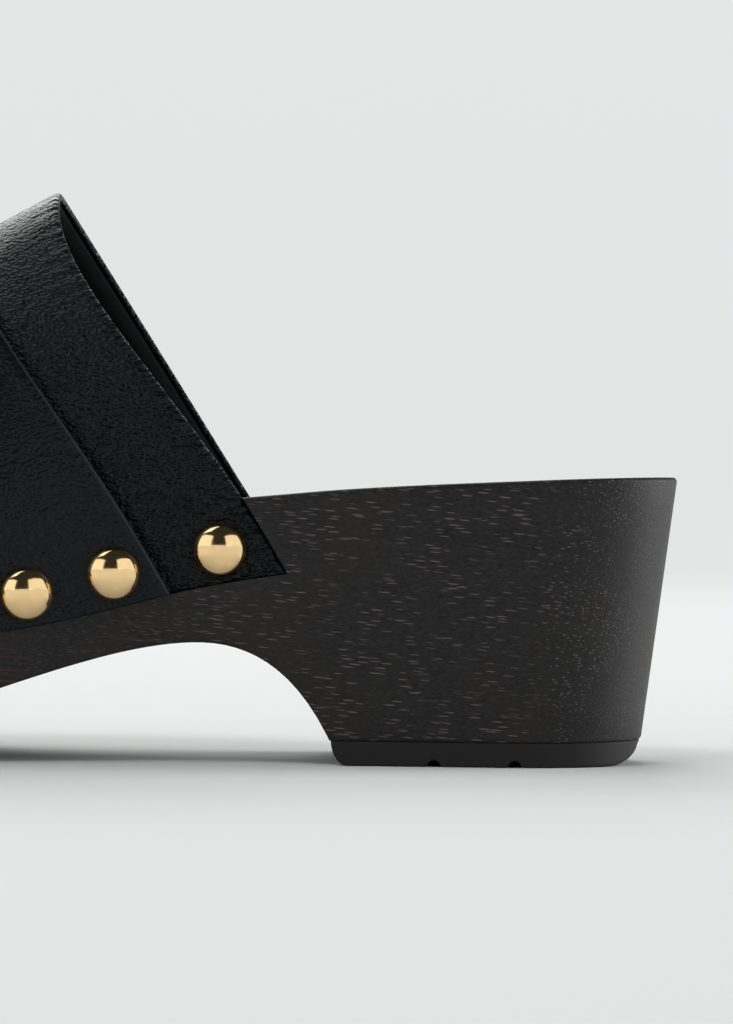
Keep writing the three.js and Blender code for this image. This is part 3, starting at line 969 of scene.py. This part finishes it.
def lining_material(colours):
    """Black suede with painted light and shade: greyer in a strip along the collar, darker deeper inside
    the shoe where shade falls.
    """
    finish = Finish("suede_lining")
    nap = finish.cloud(finish.place((2000, 2000, 2000)), detail=3)
    away = finish.part_of(finish.leather_map(), "Y")
    # Painted light and shade: full lining tone along the collar edge, falling to a quarter of it deeper
    # inside the shoe.
    painted_rim_light = (1 - finish.band(away, 2.6 * MM, 4.6 * MM)) * (nap * 0.5 + 0.6)
    return finish.done({
        "Base Color": finish.blend(painted_rim_light, shade(colours.lining, 0.25), colours.lining),
        "Roughness": nap * 0.1 + 0.85,
        "Specular IOR Level": 0.2,
        "Normal": finish.relief(nap, 0.06),
    })


def gold_material(colours):
    """Polished plating with faint wear."""
    finish = Finish("polished_gold")
    wear = finish.cloud(finish.place((500, 500, 500)), detail=4)
    worn = finish.band(wear, 0.35, 0.7)
    return finish.done({
        "Base Color": finish.blend(worn, colours.gold, shade(colours.gold, 0.95)),
        "Metallic": 1.0,
        "Roughness": wear * 0.12 + (colours.gold_rough - 0.05),
        "Normal": finish.relief(finish.cloud(finish.place((260, 260, 260)), detail=1), 0.02),
    })


def stage_material(pale):
    """A pale floor that is lit by the lamps near the clog and holds its tone further away."""
    finish = Finish("pale_floor")
    where = finish.node("ShaderNodeTexCoord", {}, {}, "Object")
    distance = finish.node("ShaderNodeVectorMath", {"operation": "LENGTH"}, {0: where}, "Value")
    far = finish.band(distance, LIT_FLOOR, GLOWING_FLOOR)
    glow = finish.blend(far, (0, 0, 0), shade(pale, 0.955))
    paint = finish.blend(far, pale, shade(pale, 0.1))
    return finish.done({
        "Base Color": paint, "Roughness": 0.9, "Specular IOR Level": 0.1, "Emission Color": glow,
        "Emission Strength": 1.0,
    })


class CLOG_OT_wooden_sole(bpy.types.Operator):
    """Make the wooden sole with its heel, arch, footbed and the rabbet for the leather"""

    bl_idname = "clog.wooden_sole"
    bl_label = "Wooden sole"

    def execute(self, context):
        last = Last(context.scene.clog_last)
        s = last.s
        runs = close_ends(0, s.sole_length, SOLE_STEPS)
        breast, too_near = last.run_on_side(s.heel_run, s.toplift), 0.5 * MM
        runs = sorted([run for run in runs if abs(run - breast) > too_near] + [breast])
        shape = slab(
            last, runs, last.underside_of, last.rim_height, 0, LOW_ROUND, s.rim_round,
            lambda run: s.cup_depth * last.cup(run / s.sole_length),
        )
        piece = make_piece(
            "wood_sole", shape, [wood_material(context.scene.clog_finish)], ["sole_wood"]
        )
        cut(piece, leather_pocket(last))
        return {"FINISHED"}


def leather_pocket(last):
    """The space that the leather takes in the side of the wood, with its clearance."""
    s = last.s
    first = last.turn_from(s.collar_back, -POCKET_GAP)
    columns = [(first, 0), (first, 1)] + to_the_toe(first, POCKET_STEPS)
    inner, outer = last.upper_face - s.upper_wall - s.fit, 2 * s.upper_wall
    corner = [(-POCKET_GAP, 0), (-POCKET_GAP, 1)]
    climbs = leather_climbs(*POCKET_CLIMBS)
    wall = leather_wall(last, columns, climbs, inner, outer, corner, lambda *spot: 0)
    close_sheet(wall)
    return add_object("pocket", make_mesh("pocket", wall))


def cut(piece, cutter):
    """Cuts the space of one closed mesh out of another, and removes the cutter."""
    tool = piece.modifiers.new("cut", "BOOLEAN")
    tool.operation = "DIFFERENCE"
    tool.solver = "EXACT"
    tool.object = cutter
    graph = bpy.context.evaluated_depsgraph_get()
    made = bpy.data.meshes.new_from_object(piece.evaluated_get(graph))
    if not len(made.polygons):
        raise RuntimeError("the cut left nothing of " + piece.name)
    piece.modifiers.clear()
    old, piece.data = piece.data, made
    made.name = old.name + "_cut"
    bpy.data.meshes.remove(old)
    bpy.data.objects.remove(cutter)
    piece.data.set_sharp_from_angle(angle=math.radians(SHARP_ANGLE))


class CLOG_OT_rubber(bpy.types.Operator):
    """Make the rubber under the heel and under the ball, with their grooves"""

    bl_idname = "clog.rubber"
    bl_label = "Rubber"

    def execute(self, context):
        last = Last(context.scene.clog_last)
        s = last.s
        colours = context.scene.clog_finish
        rubber = plain_material("black_rubber", colours.rubber, 0.66, 0.9, 0.02)
        grooves = [s.first_groove + i * s.groove_pitch for i in range(HEEL_GROOVES)]
        front = s.heel_run - s.fit
        round_front, round_back = 0.7 * s.toplift, 1.4 * s.toplift

        def heel_bottom(run):
            ahead = smooth_corner(front - run, round_front)
            behind = smooth_corner(run - s.heel_lean, round_back)
            return s.toplift * max(ahead, 0.85 * behind)

        shape = rubber_slab(last, 0, front, heel_bottom, lambda run: s.toplift, s.fit, grooves)
        make_piece("rubber_top_piece", shape, [rubber], ["heel_toplift"])

        start = s.sole_length - s.tread_length
        bevel = 0.8 * s.tread
        foremost = last.ball_flat_end + 2 * s.groove_pitch
        grooves = [foremost - i * s.groove_pitch for i in range(TREAD_GROOVES)]

        def tread_bottom(run):
            return last.underside(run) - s.tread * min(max((run - start) / bevel, 0), 1)

        shape = rubber_slab(
            last, start, s.sole_length, tread_bottom, last.underside, s.tread_inset, grooves
        )
        make_piece("rubber_tread", shape, [rubber], ["forefoot_tread"])
        return {"FINISHED"}


def smooth_corner(distance, length):
    """Share of a slab's thickness that a rounded corner has taken off at a distance from its end."""
    return 1 - math.sqrt(1 - (1 - min(max(distance / length, 0), 1)) ** 2)


def rubber_slab(last, start, end, bottom, top, inset, grooves):
    """A rubber sheet with the last's outline and half-round grooves across it. Loops just beside each
    groove keep its edges crisp."""
    s = last.s
    radius = s.groove_width / 2
    first, final = last.run_on_side(start, top(start)), last.run_on_side(end, top(end))
    runs = close_ends(first, final, RUBBER_STEPS)
    for groove in grooves:
        middle = last.run_on_side(groove, bottom(groove))
        runs = [run for run in runs if abs(run - middle) > GROOVE_ROOM * radius]
        runs += [middle + radius * part for part in GROOVE_SIDES]
        runs += close_ends(middle - radius, middle + radius, GROOVE_STEPS)

    def lowest(run):
        height = last.level(run, bottom)
        place = LOAD_PLACE.x - last.side_point(run, height, -1).x
        depth = max(radius**2 - min((place - groove) ** 2 for groove in grooves), 0)
        return height + math.sqrt(depth)

    def highest(run):
        return max(last.level(run, top), lowest(run) + 0.01 * MM)

    low, high = RUBBER_LOW_ROUND, RUBBER_HIGH_ROUND
    return slab(last, sorted(runs), lowest, highest, inset, low, high, lambda run: 0)


class CLOG_OT_upper(bpy.types.Operator):
    """Make the leather upper with its folded collar edge and its lining"""

    bl_idname = "clog.upper"
    bl_label = "Upper"

    def execute(self, context):
        last = Last(context.scene.clog_last)
        s = last.s
        colours = context.scene.clog_finish
        creases = Creases(last, nail_spots(last, plain(context.scene.clog_nails)))
        for climb, length, depth in BAND_GATHERS:
            start, end = (last.turn_from(s.collar_back, away * MM) for away in (0.2, length))
            creases.add((start, climb), (end, climb - 0.008), GATHER_WIDTH, depth)

        def relief(turn, climb, through):
            lift = creases.at(turn, climb)
            if through < 0:
                behind_fold = last.away_from(s.collar_back, turn) - FOLD_WIDTH * MM
                return lift + SEAM_DEPTH * bell(behind_fold, SEAM_WIDTH)
            from_trough = last.away_from(last.vamp_edge, turn) + TROUGH_SHIFT
            return lift - TROUGH_DEPTH * bell(from_trough, TROUGH_WIDTH)

        # Columns in millimetres from the collar stand close at the fold and at the trough.
        half = s.upper_wall / 2
        edge = edge_steps(half, FOLD_STEPS)
        spaced = [half / MM, 1.05, 1.2, 1.35, 1.6, 1.9, 2.4, 3.1]
        spaced += even(4, 17, 18) + even(17, 21.5, 18) + [21.5, 22.5]
        columns = [(last.turn_from(s.collar_back, away), part) for away, part in edge]
        columns += [(last.turn_from(s.collar_back, away * MM), 1) for away in spaced]
        columns += to_the_toe(columns[-1][0], UPPER_STEPS)
        corner = [(0, 0), (0, 0.6), (0.05 * MM, 0.85), (0.2 * MM, 1)]
        climbs = leather_climbs(*UPPER_CLIMBS)
        inner = last.upper_face - s.upper_wall
        shape = leather_wall(last, columns, climbs, inner, last.upper_face, corner, relief)
        in_column, in_row = (shape.verts.layers.int[name] for name in ("column", "row"))
        inside = len(wall_rows(climbs, corner)) // 2
        folded = len(edge) + sum(away <= FOLD_WIDTH for away in spaced)
        for face in shape.faces:
            column, row = (min(corner[layer] for corner in face.verts) for layer in (in_column, in_row))
            face.material_index = int(column >= folded and row > inside)
        close_sheet(shape)
        materials = [leather_material("band_leather", colours, 2.6, 1.9), lining_material(colours)]
        make_piece(
            "leather_upper", shape, materials, ["upper"], SHARP_LEATHER_ANGLE
        )
        return {"FINISHED"}


class CLOG_OT_vamp(bpy.types.Operator):
    """Make the leather laid over the front of the upper, with its cut back edge"""

    bl_idname = "clog.vamp"
    bl_label = "Vamp"

    def execute(self, context):
        last = Last(context.scene.clog_last)
        s = last.s
        colours = context.scene.clog_finish
        spots = nail_spots(last, plain(context.scene.clog_nails))
        creases = Creases(last, spots)
        for (turn, climb), (next_turn, next_climb) in zip(spots[1:-1], spots[2:-1]):
            middle_turn, middle_climb = (turn + next_turn) / 2, (climb + next_climb) / 2
            if turn > 0.5 and abs(next_turn - turn) > 1e-3:
                rise = TOE_TROUGH_CLIMB if climb < 1 else -TOE_TROUGH_CLIMB
                start = (middle_turn, middle_climb - 0.4 * rise)
                end = (middle_turn, middle_climb + rise)
                creases.add(start, end, TOE_TROUGH_WIDTH, TOE_TROUGH_DEPTH)

        def relief(turn, climb, through):
            if through < 0:
                return 0
            away = last.away_from(last.vamp_edge, turn)
            flare = 1 - smooth(away, 0.1 * EDGE_FLARE, EDGE_FLARE)
            return creases.at(turn, climb) + EDGE_LIFT * flare

        half = (s.fit + s.vamp_wall) / 2
        flat = 1 - CUT_ROUND / half
        columns = [(last.turn_at(last.vamp_edge), part) for part in (0, 0.6 * flat)]
        for away, part in edge_steps(CUT_ROUND, CUT_STEPS):
            columns.append((last.turn_from(last.vamp_edge, away), mix(flat, 1, part)))
        cut_end = len(columns) - 1
        spaced = [0.7, 0.95, 1.3, 1.9, 2.7, 3.6, 4.8, 6]
        columns += [(last.turn_from(last.vamp_edge, away * MM), 1) for away in spaced]
        columns += to_the_toe(columns[-1][0], VAMP_STEPS)
        corner = [(0, 0), (0, 0.5), (0.06 * MM, 0.8), (0.2 * MM, 0.95), (0.35 * MM, 1)]
        climbs = leather_climbs(*VAMP_CLIMBS)
        inner = last.upper_face + 0.05 * MM
        shape = leather_wall(last, columns, climbs, inner, last.vamp_face, corner, relief)
        # The cut face and its rounded corner take the lighter cut-edge colour: partly the edge's dye,
        # partly a painted sheen along the corner.
        in_column = shape.verts.layers.int["column"]
        for face in shape.faces:
            face.material_index = int(min(corner[in_column] for corner in face.verts) < cut_end)
        close_sheet(shape)
        materials = [
            leather_material("vamp_leather", colours, 1.1, 0.3),
            plain_material("cut_edge_dye_and_sheen", colours.cut, 0.6, 0.35, 0.04),
        ]
        make_piece(
            "leather_vamp", shape, materials, ["vamp"], SHARP_LEATHER_ANGLE
        )
        return {"FINISHED"}


def leather_climbs(skirt_rows, dome_rows):
    """Climbs from just over the outer lower edge to just over the inner one."""
    rise = even(0.02, SKIRT_CLIMB, skirt_rows) + even(SKIRT_CLIMB, 1, dome_rows)
    return rise + [1] + [2 - climb for climb in rise[::-1]]


class CLOG_OT_nails(bpy.types.Operator):
    """Make the row of polished dome nails along the leather's lower edge"""

    bl_idname = "clog.nails"
    bl_label = "Dome nails"

    def execute(self, context):
        last = Last(context.scene.clog_last)
        nails = plain(context.scene.clog_nails)
        spots = nail_spots(last, nails)
        head = nail_head(nails)
        row = bmesh.new()
        chance = random.Random(TIP_SEED)
        for i, (turn, climb) in enumerate(spots):
            on_band = i in (0, len(spots) - 1)
            face = last.upper_face if on_band else last.vamp_face
            before = len(row.verts)
            row.from_mesh(head)
            row.verts.ensure_lookup_table()
            upright = last.skin_normal(turn, climb).to_track_quat("Z", "Y").to_matrix().to_4x4()
            angle = math.radians(chance.uniform(0, MOST_TIP))
            tip = Matrix.Rotation(angle, 4, (1, chance.uniform(-1, 1), 0))
            place = Matrix.Translation(last.off_skin(turn, climb, face)) @ upright @ tip
            bmesh.ops.transform(row, matrix=place, verts=row.verts[before:])
        bpy.data.meshes.remove(head)
        nodes = [f"stud_{i + 1:02d}" for i in range(len(spots))]
        gold = gold_material(context.scene.clog_finish)
        make_piece("dome_nails", row, [gold], nodes, SHARP_LEATHER_ANGLE)
        return {"FINISHED"}


def nail_head(nails):
    """A dome nail's head standing on z = 0, turned from its profile."""
    radius = nails.diameter / 2
    sunk, lip = -0.6 * MM, 0.3 * MM
    points = [(0, sunk), (radius - lip, sunk), (radius - 0.2 * lip, sunk / 2)]
    for angle in even(math.pi / 2, 0, DOME_STEPS):
        points.append((radius * math.sin(angle), nails.height * math.cos(angle)))
    points.append((0, nails.height))
    return make_mesh("nail_head", turned(points, NAIL_STEPS))


class CLOG_OT_stage(bpy.types.Operator):
    """Make the pale floor, the lights and the camera"""

    bl_idname = "clog.stage"
    bl_label = "Stage"

    def execute(self, context):
        settings = context.scene.clog_stage
        self.floor(settings)
        self.camera(context.scene, settings)
        for name, setting, part, place, extent, aim, mirrored in LAMPS:
            lamp(name, part * getattr(settings, setting), place, extent, aim, mirrored)
        world = bpy.data.worlds.new("dim_studio")
        world.use_nodes = True
        background = world.node_tree.nodes["Background"]
        background.inputs["Color"].default_value = (0.5, 0.52, 0.52, 1)
        background.inputs["Strength"].default_value = 0.05
        context.scene.world = world
        context.scene.view_settings.view_transform = "Standard"
        return {"FINISHED"}

    @staticmethod
    def floor(settings):
        """A round floor that curves up into a low wall all round."""
        profile = [(ring, 0) for ring in FLOOR_RINGS]
        for angle in even(0, FLOOR_BEND_ANGLE, FLOOR_BEND_STEPS):
            across, up = FLOOR_BEND * math.sin(angle), FLOOR_BEND * (1 - math.cos(angle))
            profile.append((FLOOR_FLAT + across, up))
        shape = turned(profile + [(FLOOR_FLAT + FLOOR_BEND, WALL_TOP)], FLOOR_STEPS)
        for face in shape.faces:
            face.smooth = True
        if shape.faces[0].normal.z < 0:
            bmesh.ops.reverse_faces(shape, faces=shape.faces)
        mesh = make_mesh("floor", shape)
        mesh.materials.append(stage_material(settings.pale))
        add_object("floor", mesh)

    @staticmethod
    def camera(scene, settings):
        lens = bpy.data.cameras.new("camera")
        lens.lens = settings.lens
        lens.sensor_width = 36
        lens.clip_start, lens.clip_end = 0.05, 20
        camera = add_object("camera", lens)
        level = Matrix.Rotation(math.pi / 2, 4, "X") @ Matrix.Rotation(settings.roll, 4, "Z")
        place = (settings.camera_side, -settings.camera_away, settings.camera_height)
        camera.matrix_world = Matrix.Translation(place) @ level
        scene.camera = camera


def lamp(name, watts, place, extent, aim, mirrored):
    """A soft rectangular light that faces a spot."""
    light = bpy.data.lights.new(name, "AREA")
    light.shape = "RECTANGLE"
    light.size, light.size_y = extent
    light.energy = watts
    panel = add_object(name, light)
    turn = (Vector(aim) - Vector(place)).to_track_quat("-Z", "Y").to_matrix().to_4x4()
    panel.matrix_world = Matrix.Translation(place) @ turn
    panel.visible_camera = False
    panel.visible_glossy = mirrored


class CLOG_PT_panel(bpy.types.Panel):
    """Lists the clog's pieces and the sizes and colours behind them"""

    bl_idname = "CLOG_PT_panel"
    bl_label = "Studded clog"
    bl_space_type = "VIEW_3D"
    bl_region_type = "UI"
    bl_category = "Clog"

    def draw(self, context):
        for step in STEPS:
            self.layout.operator(step.bl_idname)
        for title, kind in SETTINGS.items():
            box = self.layout.box()
            box.label(text=kind.__doc__)
            for name in kind.__annotations__:
                box.prop(getattr(context.scene, title), name)


SETTINGS = {
    "clog_last": ClogLast,
    "clog_nails": ClogNails,
    "clog_finish": ClogFinish,
    "clog_stage": ClogStage,
}
STEPS = (CLOG_OT_wooden_sole, CLOG_OT_rubber, CLOG_OT_upper, CLOG_OT_vamp, CLOG_OT_nails, CLOG_OT_stage)


def register():
    for kind in (*SETTINGS.values(), *STEPS, CLOG_PT_panel):
        bpy.utils.register_class(kind)
    for title, kind in SETTINGS.items():
        setattr(bpy.types.Scene, title, PointerProperty(type=kind))


def unregister():
    for title in SETTINGS:
        delattr(bpy.types.Scene, title)
    for kind in (CLOG_PT_panel, *STEPS, *SETTINGS.values()):
        bpy.utils.unregister_class(kind)


def main():
    register()
    bpy.ops.clog.wooden_sole()
    bpy.ops.clog.rubber()
    bpy.ops.clog.upper()
    bpy.ops.clog.vamp()
    bpy.ops.clog.nails()
    bpy.ops.clog.stage()


if __name__ == "__main__":
    main()
